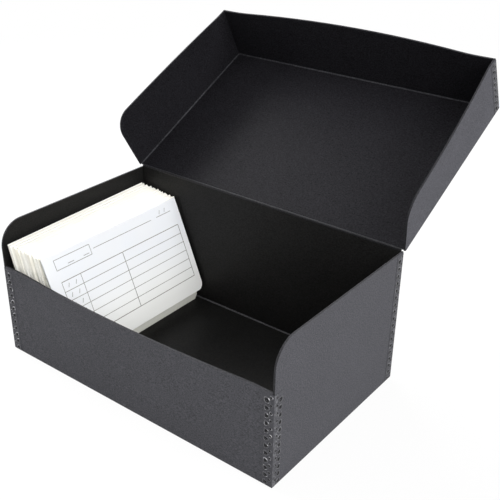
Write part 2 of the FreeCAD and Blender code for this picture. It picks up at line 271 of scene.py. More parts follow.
def grid_faces(rows: int, columns: int, ring_rows: bool = False, ring_columns: bool = False) -> np.ndarray:
    """The quads of a grid whose vertices run along its columns first.

    Args:
        rows: Vertices down the grid.
        columns: Vertices across the grid.
        ring_rows: Whether the last row joins the first.
        ring_columns: Whether the last column joins the first.

    Returns:
        One row of four vertex numbers for each quad.
    """
    down = np.arange(rows if ring_rows else rows - 1)[:, None]
    across = np.arange(columns if ring_columns else columns - 1)[None, :]
    below, beside = (down + 1) % rows, (across + 1) % columns
    quads = (down * columns + across, below * columns + across,
             below * columns + beside, down * columns + beside)
    return np.stack(quads, axis=-1).reshape(-1, 4)


def make_piece(name: str, points: np.ndarray, faces: np.ndarray, material: bpy.types.Material,
               smooth: bool = True) -> bpy.types.Object:
    """Makes an object at the origin from points in metres.

    Args:
        name: The piece's name.
        points: One row of x, y and z for each vertex.
        faces: One row of four vertex numbers for each quad.
        material: Its finish.
        smooth: Whether its faces are shaded as one curved surface.

    Returns:
        The object.
    """
    mesh = bpy.data.meshes.new(name)
    mesh.from_pydata(points.tolist(), [], faces.tolist())
    mesh.polygons.foreach_set("use_smooth", np.full(len(mesh.polygons), smooth))
    mesh.materials.append(material)
    mesh.update()
    piece = bpy.data.objects.new(name, mesh)
    bpy.context.scene.collection.objects.link(piece)
    return piece


# Sizes that the part's source also uses, in millimetres and degrees


@dataclass(frozen=True)
class BoxSizes:
    """Outside sizes of the tray and the lid, and where the lid stands."""

    length: float = 292.0
    depth: float = 175.0
    height: float = 125.0
    front_height: float = 86.0
    board: float = 1.5
    lid_wall: float = 57.0
    lid_clearance: float = 0.8
    lid_seat: float = 0.7
    open_angle: float = 153.0

    @property
    def crease(self) -> tuple[float, float, float]:
        """A point on the crease that the lid turns on."""
        return 0.0, self.depth / 2 - self.board / 2, self.height + self.lid_seat + self.board / 2

    @property
    def lid_half_length(self) -> float:
        """From the middle to the outside of a lid side wall."""
        return self.length / 2 + self.lid_clearance + self.board

    @property
    def lid_depth(self) -> float:
        """From the crease to the outside of the lid's front wall."""
        return self.crease[1] + self.depth / 2 + self.lid_clearance + self.board

    @property
    def lid_pose(self) -> Pose:
        """The lid's own axes, which are the frame's when it is closed."""
        return Pose(turn("X", -self.open_angle), self.crease)


# Board


@dataclass(frozen=True)
class BoardFinish:
    """Matte archival board: charcoal outside, near black inside, with a paler cut edge, painted highlights
    along the inner folds, and painted shade along the crease and under the metal strips.
    """

    outside_tray: Colour = (0.0708, 0.0708, 0.079)
    outside_lid: Colour = (0.081, 0.081, 0.091)
    # The tray's lining is toned darker and warmer than the lid's, though it is the same board: painted
    # shade for the tray's deep floor and painted warm bounce light from the envelopes, also offsetting its
    # stronger sheen.
    inside_tray: Colour = (0.0092, 0.009, 0.0088)
    inside_lid: Colour = (0.0117, 0.0114, 0.0134)
    cut_edge: Colour = (0.022, 0.022, 0.024)
    # Painted highlight: the lighter grey along the beads of the scored folds inside the box.
    fold_glint_tray: Colour = (0.085, 0.085, 0.09)
    fold_glint_lid: Colour = (0.05, 0.05, 0.055)
    # A dark grey along the hinge crease: painted shade over the bead, a little lighter than the lining for
    # a faint painted highlight.
    crease: Colour = (0.018, 0.018, 0.02)
    # Near black under the metal strips: painted shade seen through the prong holes.
    shade_under_metal: Colour = (0.004, 0.004, 0.004)
    sheen_tray: float = 0.12
    sheen_lid: float = 0.03

    def make(self, name: str, pose: Pose, wall: "WallPlan") -> bpy.types.Material:
        """Builds the board's material.

        Args:
            name: The material's name.
            pose: The axes in which the wall plan is given.
            wall: Where the piece's faces, folds and strips lie.

        Returns:
            The material.
        """
        shader = Shader(name)
        place, facing = shader.place(), shader.facing()
        axes = [tuple(column) for column in pose.rotation.T.tolist()]
        shift = [float(np.dot(axis, pose.origin)) * MM for axis in axes]
        x, y, z = (shader.along(place, axis) - move for axis, move in zip(axes, shift))
        nx, ny, nz = (shader.along(facing, axis) for axis in axes)
        outward = x * nx + (y - wall.middle[1] * MM) * ny + (z - wall.middle[2] * MM) * nz
        inner = outward.below(0.0)
        # Near the crease the lining's near black also covers the bead's upper faces: painted shade.
        inner = inner.most(wall.crease_distance(y, z).below(0.0017) * ny.below(0.45))
        cut = wall.cut_edges(x, y, z, nx, nz)
        crest = wall.fold_distance(x, y, z)
        covered = wall.covered(x, y, z)

        fibre = shader.noise(shader.stretched(place, (1.0, 1.0, 1.4)), 760.0, 4.0, 0.7)
        grain = shader.noise(place, 3200.0, 2.0, 0.6)
        cloud = shader.noise(place, 22.0, 3.0, 0.55)
        rubbed = shader.noise(place, 160.0, 4.0, 0.7).ramp(0.45, 0.75)
        face, lining = ((self.outside_tray, self.inside_tray) if wall.rim_sign > 0
                        else (self.outside_lid, self.inside_lid))
        colour = shader.mix(inner, face, lining)
        # Painted highlight along the inner folds' beads, made patchy by the cloud noise.
        fold, width = (self.fold_glint_tray, 0.0014) if wall.rim_sign > 0 else (self.fold_glint_lid, 0.0012)
        wear_and_glint = cloud.ramp(0.25, 0.6, 0.55, 1.0)
        colour = shader.mix(crest.ramp(width - 0.0006, width, 0.95, 0.0) * inner * wear_and_glint, colour, fold)
        # Painted shade along the hinge crease, lighter than the lining for a faint painted highlight.
        crease = wall.crease_distance(y, z).ramp(0.0011, 0.0018, 0.9, 0.0)
        colour = shader.mix(crease * inner, colour, self.crease)
        colour = shader.mix(cut * 0.9, colour, self.cut_edge)
        # Painted shade: the board under the strips goes near black so that the prong holes look dark.
        colour = shader.mix(covered * (1 - inner), colour, self.shade_under_metal)
        tone = 1.0 + (fibre - 0.5) * (2.6 + inner * 1.9) + (grain - 0.5) * 0.4 + (cloud - 0.5) * 0.25
        tone = tone + rubbed * 0.05
        colour = shader.toned(colour, tone)
        height = fibre * 0.6 + grain * 0.4
        return shader.finish(
            Base_Color=colour, Roughness=0.78 + (cloud - 0.5) * 0.12 - rubbed * 0.05 - inner * 0.33,
            Specular_IOR_Level=self.sheen_tray if wall.rim_sign > 0 else self.sheen_lid,
            Normal=shader.bump(height, 0.00011, 0.55))


@dataclass(frozen=True)
class WallPlan:
    """Where a board piece's inside, cut edges, folds and covered strips lie, in its own axes.

    The distances to the folds are those to straight lines, and an edge is told by which way it
    faces: a wall's rim looks along the wall, and its broad faces look across it.
    """

    sizes: BoxSizes
    half_length: float
    front: float
    back: float
    floor: float
    middle: tuple[float, float, float]
    rim_sign: int
    front_rim: float
    crease: tuple[float, float]
    strip_leg: float = 9.4

    def cut_edges(self, x: Value, y: Value, z: Value, nx: Value, nz: Value) -> Value:
        """1 on the sawn edges of the end walls and of the front wall's rim."""
        board = self.sizes.board
        end_wall = abs(x).above((self.half_length - board + 0.1) * MM)
        sideways = abs(nx).below(0.5) * (nz * self.rim_sign).above(-0.5)
        away = (z * self.rim_sign).above((self.floor * self.rim_sign + 1.0) * MM)
        front = (z * self.rim_sign).above((self.front_rim * self.rim_sign - 0.2) * MM)
        front = front * y.below((self.front + board + 1.0) * MM) * (nz * self.rim_sign).above(0.5)
        return (end_wall * sideways * away).most(front)

    def fold_distance(self, x: Value, y: Value, z: Value) -> Value:
        """How far a point is from the nearest scored fold, in metres."""
        board = self.sizes.board
        up = z - self.floor * MM
        side = abs(x) - (self.half_length - board) * MM
        lines = [(side * side + up * up).root()]
        for level in (self.front + board, self.back - board):
            across = y - level * MM
            lines.append((across * across + up * up).root())
        return lines[0].least(lines[1]).least(lines[2])

    def crease_distance(self, y: Value, z: Value) -> Value:
        """How far a point is from the crease, in metres."""
        across, up = y - self.crease[0] * MM, z - self.crease[1] * MM
        return (across * across + up * up).root()

    def covered(self, x: Value, y: Value, z: Value) -> Value:
        """1 in the corners that the metal strips lie over."""
        leg = self.strip_leg
        side = abs(x).above((self.half_length - leg) * MM)
        front = y.below((self.front + leg) * MM)
        back = y.above((self.back - leg) * MM) if self.rim_sign > 0 else y.above(1.0)
        if self.rim_sign > 0:
            front = front * z.below((self.front_rim - 1.7) * MM)
            back = back * z.below((self.sizes.height - 1.7) * MM)
        else:
            front = front * z.below((self.floor - 0.9) * MM) * z.above((self.front_rim + 1.7) * MM)
        clear = z.above((self.floor + 0.1) * MM) if self.rim_sign > 0 else z.below(1.0)
        return side * front.most(back) * clear


@dataclass
class Boards:
    """The tray's board and the lid's board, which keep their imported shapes."""

    sizes: BoxSizes
    finish: BoardFinish = field(default_factory=BoardFinish)

    def dress(self) -> None:
        """Gives both boards their material."""
        sizes = self.sizes
        tray = WallPlan(sizes, sizes.length / 2, -sizes.depth / 2, sizes.depth / 2, sizes.board,
                        (0.0, 0.0, 55.0), 1, sizes.front_height, sizes.crease[1:])
        upright = Pose(np.eye(3), (0.0, 0.0, 0.0))
        lid = WallPlan(sizes, sizes.lid_half_length, -sizes.lid_depth, 400.0, -sizes.board / 2,
                       (0.0, -sizes.lid_depth / 2, -25.0), -1, sizes.board / 2 - sizes.lid_wall,
                       (0.0, 0.0))
        for node, pose, plan in (("tray_board", upright, tray), ("lid_board", sizes.lid_pose, lid)):
            material = self.finish.make(f"{node}_charcoal", pose, plan)
            set_finish(node, material)
            LOG.info("%s dressed in charcoal board", node)


def set_finish(node: str, material: bpy.types.Material) -> None:
    """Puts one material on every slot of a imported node."""
    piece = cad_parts[node]
    for slot in piece.material_slots:
        slot.material = material
    if not piece.material_slots:
        piece.data.materials.append(material)


# Metal edges


@dataclass(frozen=True)
class StripFinish:
    """Charcoal baked enamel on thin steel: chipped to bright metal in patches, with a painted highlight
    beside the corners and on the lips' crests, and painted shade down the prong holes.
    """

    paint: Colour = (0.0745, 0.0745, 0.0825)
    # Bright bare metal where the enamel is chipped; the same grey also serves for the painted highlights.
    rubbed: Colour = (0.52, 0.52, 0.54)
    # Near black: painted shade down in the prong holes.
    hole: Colour = (0.004, 0.004, 0.004)

    def make(self, name: str, pose: Pose, fold: tuple[float, float]) -> bpy.types.Material:
        """Builds the strips' enamel, close in tone to the board, with a speckled painted highlight on the
        end-facing legs beside the corners and rubbed patches.

        Args:
            name: The material's name.
            pose: The axes in which the corner is given.
            fold: How far the corners stand from those axes along the box's length and depth.

        Returns:
            The material.
        """
        shader = Shader(name)
        place = shader.place()
        fibre = shader.noise(place, 700.0, 3.0, 0.6)
        patch = shader.noise(place, 260.0, 3.0, 0.6)
        along, across = (abs(shader.along(place, tuple(axis)) - float(np.dot(axis, pose.origin)) * MM)
                         for axis in pose.rotation.T[:2].tolist())
        sideways = abs(shader.along(shader.facing(), tuple(pose.rotation.T[0].tolist())))
        # Painted highlight: a speckled lighter band on the end-facing legs within a few millimetres of the
        # corner.
        nearest = along.ramp((fold[0] - 1.5) * MM, (fold[0] - 0.5) * MM)
        nearest = nearest * across.ramp((fold[1] - 4.5) * MM, (fold[1] - 2.5) * MM)
        speck = shader.noise(place, 420.0, 2.0, 0.6).ramp(0.42, 0.62)
        # That painted highlight plus random rubbed patches of bare metal.
        wear_and_glint = nearest * sideways * speck * 0.13 + patch.ramp(0.66, 0.9) * 0.15
        colour = shader.mix(wear_and_glint, self.paint, self.rubbed)
        colour = shader.toned(colour, 1.0 + (fibre - 0.5) * 0.7)
        return shader.finish(
            Base_Color=colour, Roughness=0.62 + (patch - 0.5) * 0.16,
            Specular_IOR_Level=0.08, Normal=shader.bump(fibre, 0.00008, 0.5))

    def make_lip(self) -> bpy.types.Material:
        """Builds the lips' finish: painted shade down in the hole, and bare metal with a painted highlight
        along the crest.
        """
        shader = Shader("edge_lip")
        place = shader.place()
        shade = shader.output("ShaderNodeAttribute", "Fac", {"attribute_name": "shade"})
        patch = shader.noise(place, 330.0, 2.0, 0.5)
        # Along the crest, patches of bare-metal grey: chipped metal and painted highlight. Below the crest,
        # near black: painted shade in the hole.
        wear_and_glint = shade.ramp(0.7, 1.0) * patch.ramp(0.5, 0.66)
        colour = shader.mix(wear_and_glint, self.paint, self.rubbed)
        colour = shader.mix(shade.ramp(0.5, 0.83, 1.0, 0.0), colour, self.hole)
        return shader.finish(
            Base_Color=colour, Metallic=wear_and_glint * 0.3, Roughness=0.45 + (patch - 0.5) * 0.2,
            Specular_IOR_Level=0.3)


@dataclass(frozen=True)
class Lip:
    """The raised lip round a prong's hole: the radius of its crest, how far that swells into
    a triangle (towards the corner where it is above 0), and the scale of its section."""

    crest: float
    point: float
    scale: float


AROUND = 12
LIP_SECTION = np.array([[-1.35, -0.1], [-0.2, 0.37], [0.12, 0.37], [0.55, -0.06]])
# Shade values round the section: 0 at the foot in the hole (painted shade) up to 1 on the crest (painted
# highlight).
LIP_SHADE = np.array([0.0, 0.85, 1.0, 0.75])
LIPS = {Row.OUTER: Lip(2.0, 0.15, 1.0), Row.INNER: Lip(1.25, 0.12, 0.8)}
# The lips on the end-facing legs get their shade values scaled down: a weaker painted highlight and a wider
# painted shade.
SIDE_PAINTED_LIGHT = 0.86
TOP_LIP = Lip(2.4, 0.0, 1.15)


@dataclass
class MetalEdge:
    """A punched strip down a corner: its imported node, and the burred lips of its prong holes."""

    node: str
    body: str
    corner: tuple[float, float]
    facing: tuple[int, int]
    low: float
    high: float
    pose: Pose
    pitch: float = 6.75
    row: float = 6.3
    inner_row: float = 2.6
    thickness: float = 0.3

    @property
    def count(self) -> int:
        """How many prongs each row has."""
        return int((self.high - self.low - self.pitch * 0.6) / self.pitch) + 1

    def stations(self, row: Row) -> np.ndarray:
        """The heights of a row's prongs along the strip."""
        spare = self.high - self.low - self.pitch * (self.count - 1)
        first = self.low + spare / 2 - self.pitch / 4
        return first + self.pitch * np.arange(self.count) + (self.pitch / 2 if row is Row.INNER else 0.0)

    def lip_template(self, lip: Lip) -> np.ndarray:
        """One lip about the origin, in a leg's plane, with its height outwards.

        The lip is a closed ring round a prong's hole. Its radius swells three times on the way
        round, like a rounded triangle. Its section has a foot inside the hole, a crest, and a
        foot on the metal's face.

        Args:
            lip: The ring's sizes.

        Returns:
            One row of (along the leg to the corner, up, out) for each vertex, around first.
        """
        around = np.linspace(0.0, 2 * math.pi, AROUND, endpoint=False)
        reach = lip.crest * (1 + lip.point * np.cos(3 * around))
        radius = reach[:, None] + LIP_SECTION[None, :, 0] * lip.scale
        out = np.broadcast_to(LIP_SECTION[:, 1] * lip.scale, radius.shape)
        ring = (radius * np.cos(around)[:, None], radius * np.sin(around)[:, None], out)
        return np.stack(ring, axis=-1).reshape(-1, 3)

    def lips(self) -> tuple[np.ndarray, np.ndarray, np.ndarray]:
        """Every lip of the strip: points in its own axes in millimetres, faces, and shades."""
        points, faces, shades = [], [], []
        ring_faces = grid_faces(AROUND, len(LIP_SECTION), ring_rows=True, ring_columns=True)
        corner = np.array([*self.corner, 0.0])
        up = np.array([0.0, 0.0, 1.0])
        across = np.array([self.facing[0], 0.0, 0.0])
        along = np.array([0.0, self.facing[1], 0.0])
        # Per leg, a scale for the painted light on its lips: full on the front and back legs, less on the
        # end-facing ones.
        for to_corner, out, painted_light_scale in ((across, along, 1.0), (along, across, SIDE_PAINTED_LIGHT)):
            handed = float(np.dot(np.cross(to_corner, up), out))
            quads = ring_faces if handed > 0 else ring_faces[:, ::-1]
            for row, inset in ((Row.OUTER, self.row), (Row.INNER, self.inner_row)):
                start = corner - to_corner * inset + out * self.thickness
                heights = self.stations(row)
                heights = heights[heights < self.high - 1.2]
                for station, height in enumerate(heights):
                    last = row is Row.OUTER and station == len(heights) - 1
                    lip = TOP_LIP if last else LIPS[row]
                    shape = self.lip_template(lip)
                    room = min(height - self.low, self.high - height) / (lip.crest + 0.6)
                    shape[:, :2] *= min(1.0, room)
                    points.append(start + shape[:, :1] * to_corner + shape[:, 2:] * out
                                  + (shape[:, 1:2] + height) * up)
                    faces.append(quads + len(faces) * len(shape))
                    shades.append(np.tile(LIP_SHADE, AROUND) * painted_light_scale)
        return np.concatenate(points), np.concatenate(faces), np.concatenate(shades)

    def build(self, paint: bpy.types.Material, burr: bpy.types.Material) -> None:
        """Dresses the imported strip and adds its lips."""
        set_finish(self.node, paint)
        points, faces, shades = self.lips()
        piece = make_piece(f"{self.node}_prong_lips", self.pose.apply(points), faces, burr)
        shade = piece.data.attributes.new("shade", "FLOAT", "POINT")
        shade.data.foreach_set("value", shades)
        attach(piece, self.body)
        LOG.info("%s: %d prongs a row", self.node, self.count)


@dataclass
class MetalEdges:
    """The strips on the tray's four corners and on the lid's two."""

    sizes: BoxSizes
    end_gap: float = 1.5

    def build(self) -> None:
        """Makes all of them."""
        sizes, gap = self.sizes, self.end_gap
        upright = Pose(np.eye(3), (0.0, 0.0, 0.0))
        half_length, half_depth = sizes.length / 2, sizes.depth / 2
        finish = StripFinish()
        burr = finish.make_lip()
        paint = finish.make("edge_enamel_tray", upright, (half_length, half_depth))
        lid_paint = finish.make("edge_enamel_lid", sizes.lid_pose,
                                (sizes.lid_half_length, sizes.lid_depth))
        for end in End:
            for word, sign, height in (("front", -1, sizes.front_height), ("back", 1, sizes.height)):
                name = f"tray_edge_{word}_{end.name.lower()}"
                MetalEdge(name, "tray", (half_length * end.value, half_depth * sign),
                          (end.value, sign), gap, height - gap, upright).build(paint, burr)
            MetalEdge(f"lid_edge_{end.name.lower()}", "lid",
                      (sizes.lid_half_length * end.value, -sizes.lid_depth), (end.value, -1),
                      sizes.board / 2 - sizes.lid_wall + gap, sizes.board / 2 - gap,
                      sizes.lid_pose).build(lid_paint, burr)


# Envelopes


@dataclass(frozen=True)
class PaperFinish:
    """Uncoated paper: its tones, how much its fibres show, and a warmer tone lower down, which is painted
    bounce light.
    """

    tone: Colour
    warm: Colour
    fibre: float = 0.05
    low: Colour | None = None

    def make(self, name: str) -> bpy.types.Material:
        """Builds the paper's material."""
        shader = Shader(name)
        place = shader.place()
        fibre = shader.noise(place, 1400.0, 3.0, 0.7)
        cloud = shader.noise(place, 45.0, 2.0, 0.5)
        colour = shader.mix((cloud.ramp(0.3, 0.7) * 0.6 + (fibre - 0.5) * self.fibre * 6).most(0.0),
                            self.tone, self.warm)
        # Painted bounce light: the paper turns warmer towards its bottom.
        if self.low:
            height = shader.along(place, (0.0, 0.0, 1.0))
            colour = shader.mix(height.ramp(0.02, 0.08, 1.0, 0.0), colour, self.low)
        return shader.finish(
            Base_Color=colour, Roughness=0.78 + (fibre - 0.5) * 0.2,
            Specular_IOR_Level=0.25, Normal=shader.bump(fibre, 0.00004, 0.5))


@dataclass
class Envelope:
    """One envelope of folded paper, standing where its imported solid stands."""

    number: int
    body: str
    layer: Layer
    width: float = 166.0
    height: float = 106.4
    pocket_paper: float = 1.0
    flap_paper: float = 0.25
    flap_height: float = 95.0
    flap_corner: float = 7.0
    foot_corner: float = 4.0
    paper: float = 0.22
    count: int = 24
    splay: float = 6.8
    flap_gap: float = 0.3
    fullness: float = 0.22
    seam: float = 0.4
    bulge: float = 0.44

    @property
    def node(self) -> str:
        """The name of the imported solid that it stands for."""
        return f"envelope_{self.number:02d}"

    @property
    def pose(self) -> Pose:
        """Its foot's rear left corner, and its lean, turn and roll, as in the part's source."""
        index = self.number - 1
        share = index / (self.count - 1)
        lean, yaw, roll = 14.6 + share, 0.2 * (1 - share), 1.1 * (1 - share)
        tallest = self.width * math.sin(math.radians(1.1)) + self.height
        foot = 1.5 - 146.0 + 0.3 + tallest * math.sin(math.radians(14.6))
        x = foot + 43.0 * share + self.width * math.sin(math.radians(yaw))
        y = 87.5 - 1.5 - 1.6 - self.width + 1.2 * math.sin(math.radians(137.5 * index))
        return Pose(turn("Z", yaw) @ turn("Y", -lean) @ turn("X", roll),
                    (x, y, 1.8 + 1.6 * (1 - share)))

    @property
    def flap_pose(self) -> Pose:
        """The hinge of a flap that is a piece of its own, with the flap's splay."""
        pose = self.pose
        lean = 14.6 + (self.number - 1) / (self.count - 1)
        out = self.pocket_paper + self.flap_gap + self.flap_paper / 2
        hinge = pose.rotation @ np.array([out, 0.0, self.height - self.flap_paper / 2])
        return Pose(turn("Y", -lean - self.splay), tuple(hinge + np.array(pose.origin)))

    @property
    def settled(self) -> float:
        """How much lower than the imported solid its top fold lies, which differs from one to the next."""
        if self.layer is Layer.POCKET:
            return 0.0
        return 0.35 * (1 + math.sin(math.radians(200.0 * self.number)))

    def blank(self) -> tuple[np.ndarray, np.ndarray]:
        """The folded blank's run from the pocket's mouth to the flap's free edge.

        It goes down the front panel, round the bottom fold, up the back panel, over the top fold
        on a half circle, and down the flap.

        Returns:
            The run's points as out and up in millimetres, and how far each end draws in there.
        """
        half = self.paper / 2
        thick = self.pocket_paper + self.flap_paper + self.fullness
        if self.layer is Layer.POCKET:
            thick = self.pocket_paper + self.flap_gap + self.flap_paper
        bend = (thick - self.paper) / 2
        toe = 0.26
        front_rows = np.array([88.0, 70.0, 50.0, 30.0, 15.0, 7.0, self.foot_corner, 2.0, 1.0])
        bulge = self.bulge * np.clip(front_rows / 15.0, 0.0, 1.0) ** 0.7
        if self.layer is Layer.POCKET:
            bulge = bulge * 0.75
        front = np.stack([half + 2 * toe + bulge, front_rows], axis=1)
        angles = np.radians(np.linspace(0.0, -180.0, 7))[1:]
        bottom = np.stack([half + toe + toe * np.cos(angles), toe + half + toe * np.sin(angles)], axis=1)
        back_rows = np.array([1.0, 2.0, self.foot_corner, 9.0, 22.0, 38.0, 54.0, 70.0, 86.0, 98.0])
        back = np.stack([np.full(len(back_rows), half), back_rows], axis=1)
        crown = self.height - half - bend - self.settled
        last = 0.0 if self.layer is Layer.WHOLE else 40.0
        angles = np.radians(np.linspace(180.0, last, 9))
        top = np.stack([half + bend + bend * np.cos(angles), crown + bend * np.sin(angles)], axis=1)
        run = [front, bottom, back, top]
        if self.layer is Layer.WHOLE:
            free = self.height - self.flap_height
            rounding = self.flap_corner * (1 - np.cos(np.radians(np.linspace(90.0, 0.0, 9))))
            rows = np.concatenate([np.array([98.0, 86.0, 70.0, 54.0, 38.0, 26.0]), free + rounding])
            run.append(np.stack([np.full(len(rows), half + 2 * bend), rows], axis=1))
        points = np.concatenate(run)
        drawn_in = np.maximum(self.foot_corner - points[:, 1], 0.0)
        if self.layer is Layer.WHOLE:
            flap = len(points) - len(rows)
            short = np.clip(self.flap_corner - (points[flap:, 1] - free), 0.0, self.flap_corner)
            drawn_in[flap:] = self.flap_corner - np.sqrt(self.flap_corner**2 - short**2)
        return points, drawn_in

    def sheet(self, run: np.ndarray, drawn_in: np.ndarray, columns: int = 25) -> np.ndarray:
        """Carries a run along the envelope's width.

        Each row of the grid is the run's point moved from the left end to the right end. The
        rows draw in at rounded or cut corners, and the paper waves by a few hundredths
        of a millimetre.

        Args:
            run: Out and up for each row.
            drawn_in: How far each row's ends draw in.
            columns: Vertices along the width.

        Returns:
            The points, rows first, in the envelope's axes in millimetres.
        """
        spread = np.sin(np.linspace(-1.0, 1.0, columns) * math.pi / 2)
        half = self.width / 2 - drawn_in[:, None]
        across = self.width / 2 + spread[None, :] * half
        out = np.repeat(run[:, :1], columns, axis=1)
        up = np.repeat(run[:, 1:], columns, axis=1)
        seed = self.number * 1.7
        wave = np.sin(across * 0.045 + seed) * np.cos(up * 0.05 + seed * 2) * 0.04
        fade = np.clip(up / 20.0, 0.0, 1.0) * np.clip((self.height - up) / 8.0, 0.0, 1.0)
        return np.stack([out + wave * fade, across, up], axis=-1).reshape(-1, 3)

    def seams(self, run: np.ndarray) -> tuple[np.ndarray, np.ndarray]:
        """The two side seams, which close the pocket from its rear panel to its front one.

        Each is a strip up the front panel's rows, with one point on each panel in every row.

        Args:
            run: The blank's run, which starts down the front panel.

        Returns:
            The points in the envelope's axes in millimetres, and their quads.
        """
        rows = run[: int(np.argmax(run[:, 1] <= self.foot_corner)) + 1]
        rear = np.full(len(rows), self.paper / 2)
        strips = []
        for across, ends in ((self.seam, (rear, rows[:, 0])), (self.width - self.seam, (rows[:, 0], rear))):
            out = np.stack(ends, axis=1)
            level = np.broadcast_to(rows[:, 1:], out.shape)
            strips.append(np.stack([out, np.full(out.shape, across), level], axis=-1).reshape(-1, 3))
        ladder = grid_faces(len(rows), 2)
        return np.concatenate(strips), np.concatenate([ladder, ladder + len(strips[0])])

    def thicken(self, piece: bpy.types.Object) -> None:
        """Gives a sheet the paper's thickness, half to each side."""
        solid = piece.modifiers.new("paper", "SOLIDIFY")
        solid.thickness = self.paper * MM
        solid.offset = 0.0
        solid.use_even_offset = True

    def build(self, paper: bpy.types.Material) -> None:
        """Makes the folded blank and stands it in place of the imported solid."""
        run, drawn_in = self.blank()
        points = self.sheet(run, drawn_in)
        faces = grid_faces(len(run), len(points) // len(run))
        seams, seam_faces = self.seams(run)
        faces = np.concatenate([faces, seam_faces + len(points)])
        points = np.concatenate([points, seams])
        piece = make_piece(f"{self.node}_folded", self.pose.apply(points), faces, paper)
        self.thicken(piece)
        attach(piece, self.body)
        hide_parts(self.node)

    def flap_run(self) -> tuple[np.ndarray, np.ndarray]:
        """The loose flap's run, from its fold to its free edge, and how far its ends draw in."""
        rounding = self.flap_corner * (1 - np.cos(np.radians(np.linspace(90.0, 0.0, 11))))
        free = -self.flap_height
        rows = np.concatenate([[0.1, -1.0, -4.0, -10.0, -20.0, -32.0, -46.0, -60.0, -74.0, -82.0],
                               free + rounding])
        short = np.clip(self.flap_corner - (rows - free), 0.0, self.flap_corner)
        drawn_in = self.flap_corner - np.sqrt(self.flap_corner**2 - short**2)
        return np.stack([np.zeros(len(rows)), rows], axis=1), drawn_in

    def build_flap(self, paper: bpy.types.Material, ink: bpy.types.Material) -> None:
        """Makes the flap that is a piece of its own, and the ruled form printed on it."""
        run, drawn_in = self.flap_run()
        columns = 41
        spread = np.sin(np.linspace(-1.0, 1.0, columns) * math.pi / 2)
        across = self.width / 2 + spread[None, :] * (self.width / 2 - drawn_in[:, None])
        up = np.repeat(run[:, 1:], columns, axis=1)
        points = np.stack([self.flap_bow(across, up), across, up], axis=-1).reshape(-1, 3)
        flap_pose = self.flap_pose
        flap = make_piece(f"{self.node}_flap_sheet", flap_pose.apply(points),
                          grid_faces(len(run), columns), paper)
        self.thicken(flap)
        body = f"{self.node}_flap"
        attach(flap, body)
        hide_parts(body)
        lines, quads = RuledForm().strips(self)
        form = make_piece(f"{self.node}_ruled_form", flap_pose.apply(lines), quads, ink)
        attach(form, body)
        LOG.info("%s: flap with %d ruled quads", self.node, len(quads))

    def flap_bow(self, across: np.ndarray, up: np.ndarray) -> np.ndarray:
        """How far the loose flap's paper stands out of its plane: a faint bow and a wave."""
        bow = 0.25 * np.sin(np.clip(-up / self.flap_height, 0.0, 1.0) * math.pi)
        wave = 0.08 * np.sin(across * 0.06) * np.clip(-up / 30.0, 0.0, 1.0)
        return bow + wave


@dataclass(frozen=True)
class RuledForm:
    """A generic blank form: a small box, two rules, and a table with three columns.

    Places are (along the width from the left, down from the fold), in millimetres.
    """

    fine: float = 0.5
    bold: float = 0.66
    lift: float = 0.03
    small_box: tuple[float, float, float, float] = (11.4, 5.2, 51.5, 14.5)
    rules: tuple[tuple[float, float, float], ...] = ((54.7, 128.5, 10.2), (135.8, 155.2, 10.0),
                                                    (24.5, 31.5, 12.4), (42.5, 49.0, 12.4))
    columns: tuple[float, ...] = (11.7, 33.0, 84.0, 159.0)
    lines: tuple[float, ...] = (25.3, 34.4, 43.3, 52.2, 61.2, 70.2, 79.0)

    def segments(self) -> np.ndarray:
        """Every stroke as left, top, right, bottom and width."""
        left, top, right, bottom = self.small_box
        strokes = [(left, top, right, top, self.fine), (left, bottom, right, bottom, self.fine),
                   (left, top, left, bottom, self.fine), (right, top, right, bottom, self.fine)]
        strokes += [(start, level, end, level, self.fine) for start, end, level in self.rules]
        first, last = self.lines[0], self.lines[-1]
        for level in self.lines:
            width = self.bold if level in (first, last) else self.fine
            strokes.append((self.columns[0], level, self.columns[-1], level, width))
        for column in self.columns:
            strokes.append((column, first, column, last, self.bold if column > 50 else self.fine))
        slashes = [(140.4, 8.4), (147.4, 8.4)]
        slashes += [(17.0 + step, level - 2.6) for level in self.lines[1:] for step in (0.0, 8.2)]
        strokes += [(x, y, x + 1.7, y - 3.6, self.fine) for x, y in slashes]
        return np.array(strokes)

    def strips(self, envelope: Envelope) -> tuple[np.ndarray, np.ndarray]:
        """Lays each stroke on the flap as a thin strip that follows the paper.

        A strip is a run of stations between its ends, with one point at each side of the line
        there, lifted off the flap's front by a few hundredths of a millimetre.

        Args:
            envelope: The envelope whose flap is printed.

        Returns:
            The points in the flap's axes in millimetres, and their quads.
        """
        stations = 17
        strokes = self.segments()
        start, end, width = strokes[:, :2], strokes[:, 2:4], strokes[:, 4]
        way = end - start
        unit = way / np.linalg.norm(way, axis=1, keepdims=True)
        side = np.stack([-unit[:, 1], unit[:, 0]], axis=1) * (width / 2)[:, None]
        share = np.linspace(0.0, 1.0, stations)[None, :, None]
        middle = start[:, None, :] + way[:, None, :] * share
        flat = np.stack([middle - side[:, None, :], middle + side[:, None, :]], axis=2)
        across, down = flat[..., 0], flat[..., 1]
        out = envelope.flap_bow(across, -down) + envelope.paper / 2 + self.lift
        points = np.stack([out, across, -down], axis=-1).reshape(-1, 3)
        ladder = grid_faces(stations, 2)
        quads = (ladder[None, :, :] + (np.arange(len(strokes)) * stations * 2)[:, None, None])
        return points, quads.reshape(-1, 4)


@dataclass(frozen=True)
class InkFinish:
    """Thin printing ink in a warm grey."""

    tone: Colour = (0.15, 0.146, 0.128)

    def make(self, name: str) -> bpy.types.Material:
        """Builds the ink, broken up a little where the paper's grain shows through."""
        shader = Shader(name)
        grain = shader.noise(shader.place(), 2600.0, 2.0, 0.6)
        colour = shader.mix(grain.ramp(0.35, 0.75) * 0.5, self.tone, (0.34, 0.33, 0.3))
        return shader.finish(Base_Color=colour, Roughness=0.7, Specular_IOR_Level=0.25)


